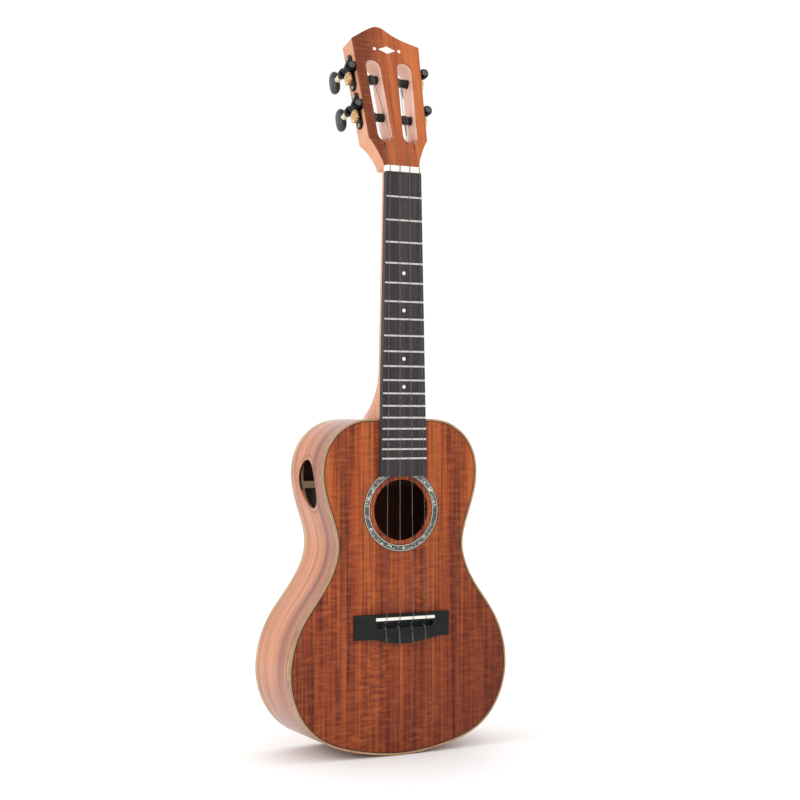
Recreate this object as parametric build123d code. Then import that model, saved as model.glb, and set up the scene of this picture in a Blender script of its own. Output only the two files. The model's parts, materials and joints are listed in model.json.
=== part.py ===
from build123d import *
import math
import os

# A concert ukulele with a slotted headstock, in millimetres.
# +Z runs up the neck towards the head, the soundboard faces -Y, and +X is the treble side.
# The origin is on the centre line at the nut's playing edge, in the plane of the soundboard.

# strings and fretboard
scale_length = 380.0
fret_count = 18
body_fret = 14
nut_half_width = 16.8
fretboard_end_half_width = 22.1
fretboard_length = 261.0
fretboard_thickness = 5.0
fret_crown_width = 2.0
fret_crown_height = 1.0
fret_tang_width = 0.5
fret_tang_depth = 1.8
fret_end_margin = 0.3
marker_radius = 1.6
marker_depth = 1.2
marked_frets = (5, 7, 10, 12)
nut_thickness = 5.2
nut_height = 7.0
nut_slot_floor = 6.1
nut_edge_radius = 0.8
nut_string_spacing = 9.4
saddle_string_spacing = 12.6
string_radii = {"g": 0.33, "c": 0.42, "e": 0.37, "a": 0.3}
string_clearance = 0.15

# body
body_length = 287.0
upper_bout = 148.8
waist = 120.8
lower_bout = 208.3
upper_bout_drop = 43.0
waist_drop = 108.5
lower_bout_drop = 210.6
depth_at_neck = 64.0
depth_at_tail = 79.0
joint_past_fret = 1.7
soundboard_thickness = 2.0
back_thickness = 2.2
rib_thickness = 2.2
binding_width = 1.6
binding_depth = 5.0
purfling_width = 0.8
purfling_depth = 1.2
lining_width = 5.0
lining_height = 8.0
glue_line = 0.05
tail_wedge_width = 6.0
soundhole_radius = 26.1
soundhole_place = 289.9
rosette_inner_radius = 29.6
rosette_abalone_inner = 30.4
rosette_abalone_outer = 35.4
rosette_outer_radius = 36.2
rosette_depth = 1.0
port_half_height = 21.0
port_half_depth = 16.6
port_place = 267.7
port_ring_gap = 3.0
port_ring_width = 1.0
port_ring_depth = 0.8

# inside the body
neck_block_width = 54.0
neck_block_length = 28.0
tail_block_width = 50.0
tail_block_length = 14.0
face_brace_width = 6.0
face_brace_height = 8.0
face_brace_places = (247.0, 331.0)
fan_brace_width = 5.0
fan_brace_height = 6.0
fan_brace_start = 337.0
fan_brace_end = 468.0
fan_spread_top = 20.0
fan_spread_bottom = 42.0
back_brace_width = 6.0
back_brace_height = 8.0
back_brace_places = {"upper_back_brace": 269.0, "middle_back_brace": 342.0, "lower_back_brace": 425.0}
bridge_plate_width = 104.0
bridge_plate_height = 30.0
bridge_plate_thickness = 1.8
dowel_radius = 4.0
dowel_length = 26.0
dowel_depths = (14.0, 27.0)

# bridge
bridge_width = 91.0
bridge_front_edge = 378.3
bridge_height = 21.0
bridge_belly = 4.0
bridge_wing_thickness = 3.4
bridge_wing_edge_thickness = 2.2
bridge_centre_thickness = 7.2
bridge_centre_width = 54.0
saddle_length = 55.6
saddle_thickness = 2.6
saddle_slot_depth = 4.0
saddle_place = 381.9
saddle_top = 9.4
saddle_edge_radius = 0.9
tie_channel_front = 385.0
tie_channel_width = 4.8
tie_channel_floor = 2.6
tie_hole_radius = 0.75
tie_hole_height = 3.9
tie_sidestep = 1.5

# neck and headstock
neck_depth_at_nut = 12.5
neck_depth_at_heel = 15.0
heel_start = 171.0
heel_sweep = 1.7
heel_steps = 14
heel_overrun = 4.0
heel_depth_at_body = 66.0
heel_end_depth = 57.0
headstock_tilt = 15.7
headstock_thickness = 18.6
veneer_thickness = 2.1
shoulder_half_width = 28.0
shoulder_place = 25.7
head_top_half_width = 32.3
head_side_end = 117.7
crown_corners = {-1: 119.2, 1: 116.6}
crown_line = [(20.5, 119.9), (11.0, 123.3), (4.2, 126.9), (-2.0, 130.8),
              (-8.0, 132.2), (-14.0, 130.2), (-23.0, 125.1)]
volute_end = 26.0
slot_width = 15.0
slot_start = 22.0
slot_end = 100.0
slot_ramp_run = 13.0
slot_web_half_width = 4.4
inlay_place = 110.5
inlay_depth = 0.6
inlay_half_width = 8.5
inlay_half_height = 3.6
inlay_disc_offset = 12.0
inlay_disc_radius = 1.5
relief_clearance = 0.3

# tuning machines
roller_places = {"lower": 49.3, "upper": 85.2}
roller_depth = 9.9
roller_radius = 3.8
roller_journal_radius = 2.5
roller_journal_length = 3.6
roller_end_play = 0.35
running_clearance = 0.05
winding_outward = 2.0
winding_turns = 4
side_hole_clearance = 0.5
plate_thickness = 1.2
plate_half_width = 5.2
plate_above = 22.5
plate_below = 11.5
screw_places = (-8.2, 19.2)
plate_bore_radius = 2.4
gear_teeth = 14
gear_tip_radius = 5.9
gear_root_radius = 4.7
gear_thickness = 2.4
tooth_tip_width = 0.5
tooth_root_width = 1.1
tooth_overlap = 0.85
plate_gap = 0.4
worm_core_radius = 2.1
worm_crest_radius = 3.2
thread_crest_width = 0.45
thread_root_width = 0.9
worm_length = 9.0
shaft_radius = 1.9
boss_radius = 4.3
boss_length = 4.6
boss_gap = 0.4
cap_radius = 3.4
cap_thickness = 1.0
collar_radius = 2.4
collar_start = 4.0
collar_length = 5.0
button_height = 21.0
button_depth = 12.5
button_thickness = 8.6
button_edge_radius = 1.5
screw_head_radius = 2.0
screw_head_height = 1.0
screw_shank_radius = 1.0
screw_length = 8.0
gear_screw_radius = 1.9

above = 20.0
wide = 160.0


tie_block_front = tie_channel_front + tie_channel_width
tie_block_back = bridge_front_edge + bridge_height + bridge_belly


def fret_drop(fret):
    """Distance from the nut to a fret, by the equal-tempered rule."""
    return scale_length * (1 - 2 ** (-fret / 12))


body_top = -(fret_drop(body_fret) + joint_past_fret)
body_tail = body_top - body_length


def depth_at(z):
    return depth_at_neck + (depth_at_tail - depth_at_neck) * (body_top - z) / body_length


def rim_curve():
    """The body's outline as one closed curve, from the neck joint round the tail and back."""
    upper, middle, lower = upper_bout / 2, waist / 2, lower_bout / 2
    to_waist = waist_drop - upper_bout_drop
    to_lower = lower_bout_drop - waist_drop
    to_tail = body_length - lower_bout_drop
    shape = [
        (0, 0),
        (0.64 * upper, 0.07 * upper_bout_drop),
        (0.90 * upper, 0.437 * upper_bout_drop),
        (upper, upper_bout_drop),
        (middle + 0.59 * (upper - middle), upper_bout_drop + 0.482 * to_waist),
        (middle, waist_drop),
        (middle + 0.233 * (lower - middle), waist_drop + 0.295 * to_lower),
        (middle + 0.734 * (lower - middle), waist_drop + 0.608 * to_lower),
        (lower, lower_bout_drop),
        (0.941 * lower, lower_bout_drop + 0.419 * to_tail),
        (0.762 * lower, lower_bout_drop + 0.733 * to_tail),
        (0.374 * lower, lower_bout_drop + 0.942 * to_tail),
        (0, body_length),
    ]
    right = [Vector(x, 0, body_top - drop) for x, drop in shape]
    left = [Vector(-place.X, 0, place.Z) for place in reversed(right[1:-1])]
    half = len(left) // 2
    return Spline(left[half:] + right + left[:half], periodic=True)


rim = rim_curve()
rim_steps = 36


def rim_face(inset):
    """The body's outline moved inwards by an inset, as a face in the soundboard's plane."""
    start = rim.param_at_point(Vector(0, 0, body_top))
    end = rim.param_at_point(Vector(0, 0, body_tail))
    right = []
    for step in range(rim_steps + 1):
        place = start + (end - start) * step / rim_steps
        along = rim % place
        right.append(rim @ place + Vector(along.Z, 0, -along.X) * inset)
    right[0].X = right[-1].X = 0
    left = [Vector(-place.X, 0, place.Z) for place in reversed(right[1:-1])]
    return make_face(Spline(right + left + right[:1], tangents=[(1, 0, 0), (1, 0, 0)]))


def rim_prism(inset):
    face = rim_face(inset)
    return extrude(face, amount=depth_at_tail + above, dir=(0, 1, 0))


def between(front, back, z_high=None, z_low=None):
    """Space from a distance under the soundboard's face to a distance inside the back's face."""
    high = body_top + above if z_high is None else z_high
    low = body_tail - above if z_low is None else z_low
    corners = [(0, front, low), (0, front, high), (0, depth_at(high) - back, high),
               (0, depth_at(low) - back, low)]
    side = make_face(Polyline(*corners, close=True))
    return extrude(side, amount=wide, dir=(1, 0, 0), both=True)


def from_front(start, end):
    return block(-wide, wide, start, end, body_tail - above, body_top + above)


def block(x_low, x_high, y_low, y_high, z_low, z_high):
    size = (x_high - x_low, y_high - y_low, z_high - z_low)
    middle = ((x_high + x_low) / 2, (y_high + y_low) / 2, (z_high + z_low) / 2)
    return Pos(*middle) * Box(*size)


def rod(start, end, radius):
    """A round bar between two points."""
    start, end = Vector(*start), Vector(*end)
    return Plane(origin=start, z_dir=end - start) * Cylinder(
        radius, (end - start).length, align=(Align.CENTER, Align.CENTER, Align.MIN))


def tube_about(x, z, outer, inner, y_low, y_high):
    """A ring whose axis runs through the soundboard."""
    ring = rod((x, y_low, z), (x, y_high, z), outer)
    if inner:
        ring -= rod((x, y_low - 1, z), (x, y_high + 1, z), inner)
    return ring


outline = {
    "outside": rim_prism(0),
    "under_binding": rim_prism(binding_width + glue_line),
    "binding_inner": rim_prism(binding_width),
    "purfling_outer": rim_prism(binding_width + glue_line),
    "purfling_inner": rim_prism(binding_width + glue_line + purfling_width),
    "plate_centre": rim_prism(binding_width + purfling_width + 2 * glue_line),
    "rib_inner": rim_prism(rib_thickness),
    "inside": rim_prism(rib_thickness + glue_line),
    "lining_inner": rim_prism(rib_thickness + glue_line + lining_width),
    "brace_end": rim_prism(rib_thickness + 2 * glue_line + lining_width),
}
parts = {}


# ---- soundboard, rosette and back ----
def port_prism(growth):
    """The sound port's oval, carried through the bass side."""
    oval = Plane.YZ * Ellipse(port_half_depth + growth, port_half_height + growth)
    solid = extrude(oval, amount=-wide)
    return Pos(0, depth_at(-port_place) / 2, -port_place) * solid


soundboard = outline["plate_centre"] & from_front(0, purfling_depth)
soundboard += outline["under_binding"] & from_front(purfling_depth, soundboard_thickness)
soundboard -= tube_about(0, -soundhole_place, soundhole_radius, 0, -1, soundboard_thickness + 1)
soundboard -= tube_about(0, -soundhole_place, rosette_outer_radius, rosette_inner_radius,
                         -1, rosette_depth)
parts["soundboard"] = soundboard
parts["front_purfling"] = (outline["purfling_outer"] - outline["purfling_inner"]) & from_front(
    0, purfling_depth)
parts["rosette_lines"] = tube_about(
    0, -soundhole_place, rosette_outer_radius, rosette_abalone_outer, 0, rosette_depth)
parts["rosette_lines"] += tube_about(
    0, -soundhole_place, rosette_abalone_inner, rosette_inner_radius, 0, rosette_depth)
parts["rosette_abalone"] = tube_about(
    0, -soundhole_place, rosette_abalone_outer, rosette_abalone_inner, 0, rosette_depth)
parts["back_plate"] = outline["under_binding"] & (
    between(0, 0) - between(-above, back_thickness))
parts["front_binding"] = (outline["outside"] - outline["binding_inner"]) & from_front(
    0, binding_depth)
parts["back_binding"] = (outline["outside"] - outline["binding_inner"]) & (
    between(0, 0) - between(-above, binding_depth))

# ---- ribs, tail wedge and sound port ----
rib = (outline["outside"] - outline["rib_inner"]) & between(binding_depth, binding_depth)
ledge = (outline["under_binding"] - outline["rib_inner"]) & between(
    soundboard_thickness, back_thickness)
rib += ledge
wedge_zone = block(-tail_wedge_width / 2, tail_wedge_width / 2, -above, depth_at_tail + above,
                   body_tail - above, body_tail + rib_thickness * 2)
parts["tail_wedge"] = rib & wedge_zone
rib -= wedge_zone
parts["bass_side"] = rib & block(-wide, 0, -above, wide, body_tail - above, body_top + above)
parts["treble_side"] = rib & block(0, wide, -above, wide, body_tail - above, body_top + above)
ring_bed = port_prism(port_ring_gap + port_ring_width) - port_prism(port_ring_gap)
ring_bed &= outline["outside"] - rim_prism(port_ring_depth)
ring_tube = port_prism(port_ring_gap + port_ring_width - glue_line)
ring_tube -= port_prism(port_ring_gap + glue_line)
parts["port_ring"] = ring_tube & (outline["outside"] - rim_prism(port_ring_depth - glue_line))
parts["bass_side"] -= port_prism(0)
parts["bass_side"] -= ring_bed

# ---- blocks, linings and braces ----
neck_block_zone = block(-neck_block_width / 2, neck_block_width / 2, 0, wide,
                        body_top - rib_thickness - neck_block_length, body_top + above)
tail_block_zone = block(-tail_block_width / 2, tail_block_width / 2, 0, wide,
                        body_tail - above, body_tail + rib_thickness + tail_block_length)
cavity = outline["inside"] & between(soundboard_thickness, back_thickness)
parts["neck_block"] = cavity & neck_block_zone
parts["tail_block"] = cavity & tail_block_zone
lining = outline["inside"] - outline["lining_inner"] - neck_block_zone - tail_block_zone
parts["front_lining"] = lining & from_front(
    soundboard_thickness, soundboard_thickness + lining_height)
parts["back_lining"] = lining & (
    between(0, back_thickness) - between(-above, back_thickness + lining_height))

plate_front = saddle_place + bridge_height / 2 - bridge_plate_height / 2
parts["bridge_plate"] = block(
    -bridge_plate_width / 2, bridge_plate_width / 2,
    soundboard_thickness, soundboard_thickness + bridge_plate_thickness,
    -plate_front - bridge_plate_height, -plate_front)
face_braces = []
for place in face_brace_places:
    bar = block(-wide, wide, soundboard_thickness, soundboard_thickness + face_brace_height,
                -place - face_brace_width / 2, -place + face_brace_width / 2)
    face_braces.append(bar & outline["brace_end"])
parts["face_braces"] = Compound(children=face_braces)
for name, place in back_brace_places.items():
    bar = between(0, back_thickness, -place + back_brace_width / 2, -place - back_brace_width / 2)
    bar -= between(-above, back_thickness + back_brace_height)
    parts[name] = bar & outline["brace_end"]


def fan_brace(top_x, bottom_x):
    """A tone bar under the soundboard, notched over the bridge plate."""
    run = Vector(bottom_x - top_x, 0, fan_brace_start - fan_brace_end)
    plane = Plane(origin=(top_x, soundboard_thickness, -fan_brace_start), z_dir=run, x_dir=(0, 1, 0))
    end_height = fan_brace_height / 3
    side = Polyline((0, 0), (end_height, 0), (fan_brace_height, 4 * end_height),
                    (fan_brace_height, run.length - 4 * end_height), (end_height, run.length),
                    (0, run.length), close=True)
    profile = Plane(origin=plane.origin, x_dir=(0, 1, 0), z_dir=plane.y_dir)
    direction = 1 if profile.y_dir.dot(run) > 0 else -1
    if direction < 0:
        side = mirror(side, about=Plane.XZ)
    bar = extrude(profile * make_face(side), amount=fan_brace_width / 2, both=True)
    return bar - parts["bridge_plate"]


fan = [fan_brace(side * fan_spread_top, side * fan_spread_bottom) for side in (-1, 0, 1)]
parts["fan_braces"] = Compound(children=fan)

# ---- neck with heel and slotted headstock ----
def neck_half_width(z):
    slope = (fretboard_end_half_width - nut_half_width) / fretboard_length
    return nut_half_width - slope * z


def neck_section(z, depth):
    half_width = neck_half_width(min(z, 0))
    plane = Plane(origin=(0, 0, z), x_dir=(1, 0, 0), z_dir=(0, 0, 1))
    curve = Spline([(-half_width, 0), (-0.84 * half_width, 0.56 * depth), (0, depth),
                    (0.84 * half_width, 0.56 * depth), (half_width, 0)],
                   tangents=[(-0.05, 1), (-0.05, -1)])
    return plane * make_face([curve, Line((half_width, 0), (-half_width, 0))])


def neck_shaft():
    """The neck's back from the nut down to the heel, which sweeps out to a flat cap at the body."""
    foot = body_top - heel_overrun
    sections = [neck_section(nut_thickness, neck_depth_at_nut)]
    for step in range(heel_steps + 1):
        share = step / heel_steps
        depth = neck_depth_at_heel + (heel_depth_at_body - neck_depth_at_heel) * share ** heel_sweep
        sections.append(neck_section(-heel_start + (body_top + heel_start) * share, depth))
    sections.append(neck_section(foot, heel_depth_at_body))
    whole = loft(sections, ruled=True)
    return whole & block(-wide / 2, wide / 2, -above, heel_end_depth, foot - 1, nut_thickness + 1)


tilt = math.radians(headstock_tilt)
head_plane = Plane(origin=(0, 0, nut_thickness), x_dir=(1, 0, 0),
                   z_dir=(0, -math.cos(tilt), math.sin(tilt)))
side_angle = math.atan2(head_top_half_width - shoulder_half_width, head_side_end - shoulder_place)


def head_reach(place):
    """Half the head's width at a place above its shoulders."""
    return shoulder_half_width + (place - shoulder_place) * math.tan(side_angle)


def head_face():
    """Front outline of the headstock, from the nut up to the crown."""
    shoulder = Spline([(nut_half_width, 0), (nut_half_width + 2.0, 0.32 * shoulder_place),
                       (shoulder_half_width, shoulder_place)],
                      tangents=[(0, 1), (0.62, 0.78)])
    edges = [shoulder, mirror(shoulder, about=Plane.YZ)]
    tops = {side: (side * head_reach(place), place) for side, place in crown_corners.items()}
    edges += [Line((side * shoulder_half_width, shoulder_place), tops[side]) for side in tops]
    edges += [Spline([tops[1], *crown_line, tops[-1]]), Line((-nut_half_width, 0), (nut_half_width, 0))]
    return make_face(edges)


def slot_centre(place):
    """Distance of a slot's centre line from the middle; slots run parallel to the head's sides."""
    middle = slot_web_half_width + slot_width / 2
    return middle + (place - slot_start) * math.tan(side_angle)


def slot_shape(side):
    """One long slot with round ends, as a prism right through the headstock."""
    low, high = slot_start + slot_width / 2, slot_end - slot_width / 2
    centre = ((slot_centre(low) + slot_centre(high)) / 2, (low + high) / 2)
    length = (high - low) / math.cos(side_angle)
    shape = SlotCenterToCenter(length, slot_width, rotation=90 - math.degrees(side_angle))
    prism = extrude(Pos(centre[0], centre[1]) * shape, amount=above, both=True)
    beneath = -headstock_thickness - 1
    ramp = Polyline((0, slot_start - 1, veneer_thickness), (0, slot_start + slot_ramp_run, beneath),
                    (0, 0, beneath), (0, 0, veneer_thickness), close=True)
    prism -= extrude(make_face(ramp), amount=wide / 2, dir=(1, 0, 0), both=True)
    return prism if side > 0 else mirror(prism, about=Plane.YZ)


head_core = extrude(head_face(), amount=-headstock_thickness)
veneer = extrude(head_face(), amount=veneer_thickness)
for side in (-1, 1):
    head_core -= slot_shape(side)
    veneer -= slot_shape(side)
for name, place in roller_places.items():
    reach = head_reach(place)
    for side in (-1, 1):
        axis = Plane(origin=(side * reach, place, -roller_depth),
                     z_dir=(-side * math.cos(side_angle), math.sin(side_angle), 0))
        wall = reach - slot_centre(place) + slot_width / 4
        head_core -= axis * Cylinder(roller_radius + side_hole_clearance, 2 * wall)
        depth = reach - slot_centre(place) + slot_width / 2
        blind = Cylinder(roller_journal_radius + running_clearance, roller_journal_length + roller_end_play,
                         align=(Align.CENTER, Align.CENTER, Align.MIN))
        head_core -= axis * Pos(0, 0, depth * math.cos(side_angle)) * blind


def volute_cut():
    """What is cut from behind the head so that the neck's back curves out to the head's back."""
    start = Vector(0, neck_depth_at_nut + 0.3, -8)
    end = head_plane.from_local_coords(Vector(0, volute_end, -headstock_thickness))
    behind = head_plane.from_local_coords(Vector(0, volute_end, -headstock_thickness - 2 * above))
    curve = TangentArc(start, end, tangent=(0, 0, 1))
    edges = [curve, Polyline(end, behind, (0, behind.Y, -8), start)]
    return extrude(make_face(edges), amount=wide / 2, dir=(1, 0, 0), both=True)


def dowels(radius, length):
    """The two dowels that hold the heel to the neck block."""
    middle = body_top - rib_thickness
    return [rod((0, y, middle - length / 2), (0, y, middle + length / 2), radius) for y in dowel_depths]


def string_x(name, spacing):
    """Distance of a string from the centre line, where neighbours lie this far apart."""
    return (list(string_radii).index(name) - 1.5) * spacing


def string_heights(radius):
    return (nut_slot_floor + string_clearance + radius, saddle_top + string_clearance + radius)


roller_of_string = {"g": ("lower", -1), "c": ("upper", -1), "e": ("upper", 1), "a": ("lower", 1)}


def winding_place(name):
    """Where a string meets its roller, in the head's own plane: across, along and deep."""
    row, side = roller_of_string[name]
    place = roller_places[row]
    across = slot_centre(place) + (winding_outward if row == "lower" else -winding_outward)
    radius = string_radii[name]
    reach = roller_radius + 2 * radius + string_clearance + radius
    return Vector(side * across, place - 1.0, -roller_depth + reach)


def string_path(name):
    """The string's route: roller, nut, saddle, tie hole and its turn over the tie block."""
    radius = string_radii[name]
    at_nut, at_saddle = string_heights(radius)
    nut_x = string_x(name, nut_string_spacing)
    saddle_x = string_x(name, saddle_string_spacing)
    loop = bridge_centre_thickness + string_clearance + radius
    hole = tie_hole_height
    back = -tie_block_back - string_clearance - radius
    front = -tie_block_front + string_clearance + radius
    return [
        head_plane.from_local_coords(winding_place(name)),
        Vector(nut_x, -at_nut, nut_thickness),
        Vector(nut_x, -at_nut, 0),
        Vector(saddle_x, -at_saddle, -saddle_place + saddle_thickness / 2),
        Vector(saddle_x, -at_saddle, -saddle_place - saddle_thickness / 2),
        Vector(saddle_x, -hole, front),
        Vector(saddle_x, -hole, back),
        Vector(saddle_x + tie_sidestep, -loop, back),
        Vector(saddle_x + tie_sidestep, -loop, front),
        Vector(saddle_x + tie_sidestep, -loop + 2.2, front),
    ]


def string_solid(name, growth=0.0):
    radius = string_radii[name] + growth
    path = string_path(name)
    solid = rod(path[0], path[1], radius)
    for start, end in zip(path[1:-1], path[2:]):
        solid += rod(start, end, radius)
        solid += Pos(start) * Sphere(radius)
    return solid


def string_relief(name):
    """Groove in the headstock's face where a string dives into its slot."""
    row, side = roller_of_string[name]
    path = string_path(name)
    width = string_radii[name] + relief_clearance
    start, end = (head_plane.to_local_coords(place) for place in (path[1], path[0]))
    run = end - start
    side_view = Polyline(
        (0, start.Y, start.Z - width), (0, end.Y, end.Z - width), (0, end.Y, above),
        (0, start.Y, above), close=True)
    groove = extrude(make_face(side_view), amount=width, dir=(1, 0, 0), both=True)
    turn = math.degrees(math.atan2(run.X, run.Y))
    return Pos(start.X, start.Y) * Rot(0, 0, -turn) * Pos(0, -start.Y) * groove


for name in string_radii:
    groove = string_relief(name)
    head_core -= groove
    veneer -= groove
dowel_holes = dowels(dowel_radius + glue_line, dowel_length + 1)
neck = neck_shaft() - rim_prism(-glue_line)
neck += head_plane * head_core
neck -= volute_cut()
for hole in dowel_holes:
    neck -= hole
parts["neck"] = neck
for name in ("bass_side", "treble_side", "neck_block"):
    for hole in dowel_holes:
        parts[name] -= hole
parts["neck_dowels"] = Compound(children=dowels(dowel_radius, dowel_length))


def inlay_shape(growth=0.0):
    """A lozenge between two small discs, set into the veneer below the crown."""
    across, along = inlay_half_width + 2 * growth, inlay_half_height + 2 * growth
    motif = Pos(0, inlay_place) * make_face(Polyline(
        (across, 0), (0, along), (-across, 0), (0, -along), close=True))
    for side in (-1, 1):
        motif += Pos(side * inlay_disc_offset, inlay_place) * Circle(inlay_disc_radius + growth)
    return motif


inlay_bed = Pos(0, 0, veneer_thickness - inlay_depth) * extrude(inlay_shape(glue_line), amount=above)
inlay = Pos(0, 0, veneer_thickness - inlay_depth) * extrude(inlay_shape(), amount=inlay_depth)
parts["head_veneer"] = head_plane * (veneer - inlay_bed)
parts["head_inlay"] = head_plane * inlay

# ---- fretboard, frets, markers and nut ----
board_outline = Polyline(
    (-nut_half_width, 0), (nut_half_width, 0), (fretboard_end_half_width, -fretboard_length),
    (-fretboard_end_half_width, -fretboard_length), close=True)
front_plane = Plane(origin=(0, 0, 0), x_dir=(1, 0, 0), z_dir=(0, -1, 0))
fretboard = extrude(front_plane * make_face(board_outline), amount=fretboard_thickness)


def fret(number):
    """One fret wire: a rounded crown on the board and a tang in its slot."""
    z = -fret_drop(number)
    half_width = neck_half_width(z) - fret_end_margin
    crown = ThreePointArc((fret_crown_width / 2, 0), (0, fret_crown_height), (-fret_crown_width / 2, 0))
    base = Line((-fret_crown_width / 2, 0), (fret_crown_width / 2, 0))
    tang = Pos(0, -fret_tang_depth / 2) * Rectangle(fret_tang_width, fret_tang_depth)
    section = Plane(origin=(0, -fretboard_thickness, z), x_dir=(0, 0, 1), z_dir=(1, 0, 0))
    if section.y_dir.Y > 0:
        section = Plane(origin=section.origin, x_dir=(0, 0, -1), z_dir=(1, 0, 0))
    profile = make_face([crown, base]) + tang
    wire = extrude(section * profile, amount=half_width, both=True)
    slot = extrude(section * tang, amount=half_width, both=True)
    return wire, slot


fret_wires = []
for number in range(1, fret_count + 1):
    wire, slot = fret(number)
    fret_wires.append(wire)
    fretboard -= slot
markers = []
for number in marked_frets:
    z = -(fret_drop(number) + fret_drop(number - 1)) / 2
    deep = -fretboard_thickness + marker_depth
    markers.append(rod((0, deep, z), (0, -fretboard_thickness, z), marker_radius))
    fretboard -= rod((0, deep, z), (0, -fretboard_thickness - 1, z), marker_radius + glue_line)
parts["fretboard"] = fretboard
parts["frets"] = Compound(children=fret_wires)
parts["position_markers"] = Compound(children=markers)
nut = block(-nut_half_width, nut_half_width, -nut_height, 0, 0, nut_thickness)
nut = fillet(nut.edges().filter_by(Axis.X).sort_by(Axis.Y)[:2], nut_edge_radius)
for name, radius in string_radii.items():
    x = string_x(name, nut_string_spacing)
    nut -= block(x - radius - string_clearance, x + radius + string_clearance,
                 -nut_height - 1, -nut_slot_floor, -1, nut_thickness + 1)
parts["nut"] = nut

# ---- bridge and saddle ----
bridge_low = -bridge_front_edge - bridge_height
bridge_slope_inner = bridge_centre_width / 2 + 2
bridge_slope_outer = bridge_centre_width / 2 + 6
belly = ThreePointArc((bridge_centre_width / 2, bridge_low), (0, bridge_low - bridge_belly),
                      (-bridge_centre_width / 2, bridge_low))
edge = Polyline((-bridge_centre_width / 2, bridge_low), (-bridge_width / 2, bridge_low),
                (-bridge_width / 2, -bridge_front_edge), (bridge_width / 2, -bridge_front_edge),
                (bridge_width / 2, bridge_low), (bridge_centre_width / 2, bridge_low))
base = front_plane * make_face([belly, edge])
profile = Polyline(
    (-bridge_width / 2, 0), (-bridge_width / 2, bridge_wing_edge_thickness),
    (-bridge_slope_outer, bridge_wing_thickness), (-bridge_slope_inner, bridge_centre_thickness),
    (bridge_slope_inner, bridge_centre_thickness), (bridge_slope_outer, bridge_wing_thickness),
    (bridge_width / 2, bridge_wing_edge_thickness), (bridge_width / 2, 0), close=True)
section = Plane(origin=(0, 0, 0), x_dir=(1, 0, 0), z_dir=(0, 0, 1))
relief = make_face(mirror(profile, about=Plane.XZ))
bridge = extrude(base, amount=above) & extrude(section * relief, amount=-2 * scale_length)
half_centre = bridge_centre_width / 2
bridge -= block(-half_centre, half_centre, -above, -tie_channel_floor,
                -tie_channel_front - tie_channel_width, -tie_channel_front)
bridge -= block(-saddle_length / 2, saddle_length / 2, -above, -bridge_centre_thickness + saddle_slot_depth,
                -saddle_place - saddle_thickness / 2, -saddle_place + saddle_thickness / 2)
for name in string_radii:
    x = string_x(name, saddle_string_spacing)
    bridge -= rod((x, -tie_hole_height, -tie_channel_front), (x, -tie_hole_height, bridge_low - above),
                  tie_hole_radius)
parts["bridge"] = bridge
saddle = block(-saddle_length / 2, saddle_length / 2,
               -saddle_top, -bridge_centre_thickness + saddle_slot_depth,
               -saddle_place - saddle_thickness / 2, -saddle_place + saddle_thickness / 2)
parts["saddle"] = fillet(saddle.edges().filter_by(Axis.X).sort_by(Axis.Y)[:2], saddle_edge_radius)
for name in string_radii:
    parts["string_" + name] = string_solid(name)


# ---- tuning machines ----
# Each is built for the treble side on its own axes: +X outwards from the head's side,
# +Y along the side towards the crown, +Z towards the head's face. Z is 0 at the face of the core.
worm_x = plate_thickness + plate_gap + worm_crest_radius
pitch_radius = gear_tip_radius - tooth_overlap / 2
lead = 2 * math.pi * pitch_radius / gear_teeth
worm_y = gear_tip_radius + worm_crest_radius - tooth_overlap


def gear():
    """Spur gear on the roller's end, with flat-sided teeth and room for the worm's thread."""
    shape = Circle(gear_root_radius)
    foot, tip = tooth_root_width / 2, tooth_tip_width / 2
    tooth = make_face(Polyline((-foot, gear_root_radius - 0.4), (-tip, gear_tip_radius),
                               (tip, gear_tip_radius), (foot, gear_root_radius - 0.4), close=True))
    for number in range(gear_teeth):
        shape += Rot(0, 0, number * 360 / gear_teeth) * tooth
    shape -= Circle(plate_bore_radius)
    wheel = extrude(shape, amount=gear_thickness / 2, both=True)
    return Pos(worm_x, 0, -roller_depth) * Rot(0, 90, 0) * Rot(0, 0, 90) * wheel


def worm():
    """Shaft with a single-start thread, its front cap, and its rear stub for the button."""
    centre = -roller_depth
    front = centre + worm_length / 2 + boss_gap + boss_length + boss_gap
    rear = centre - worm_length / 2 - boss_gap - boss_length - boss_gap
    shaft_end = rear - collar_start - collar_length - button_depth / 2
    solid = Pos(0, 0, (front + shaft_end) / 2) * Cylinder(shaft_radius, front - shaft_end)
    solid += Pos(0, 0, centre) * Cylinder(worm_core_radius, worm_length)
    solid += Pos(0, 0, front + cap_thickness / 2) * Cylinder(cap_radius, cap_thickness)
    turns = int(worm_length / lead)
    length = turns * lead
    path = Helix(pitch=lead, height=length, radius=worm_core_radius)
    foot, crest = thread_root_width / 2, thread_crest_width / 2
    profile = make_face(Polyline(
        (worm_core_radius - 0.3, -foot), (worm_crest_radius, -crest),
        (worm_crest_radius, crest), (worm_core_radius - 0.3, foot), close=True))
    thread = sweep(Plane.XZ * profile, path=path, is_frenet=True)
    start = centre - length / 2 + lead * (0.75 if turns % 2 else 0.25)
    thread = Pos(0, 0, start - lead) * thread
    keep = Pos(0, 0, centre) * Cylinder(worm_crest_radius + 1, worm_length)
    solid += thread & keep
    return Pos(worm_x, worm_y, 0) * solid


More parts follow.
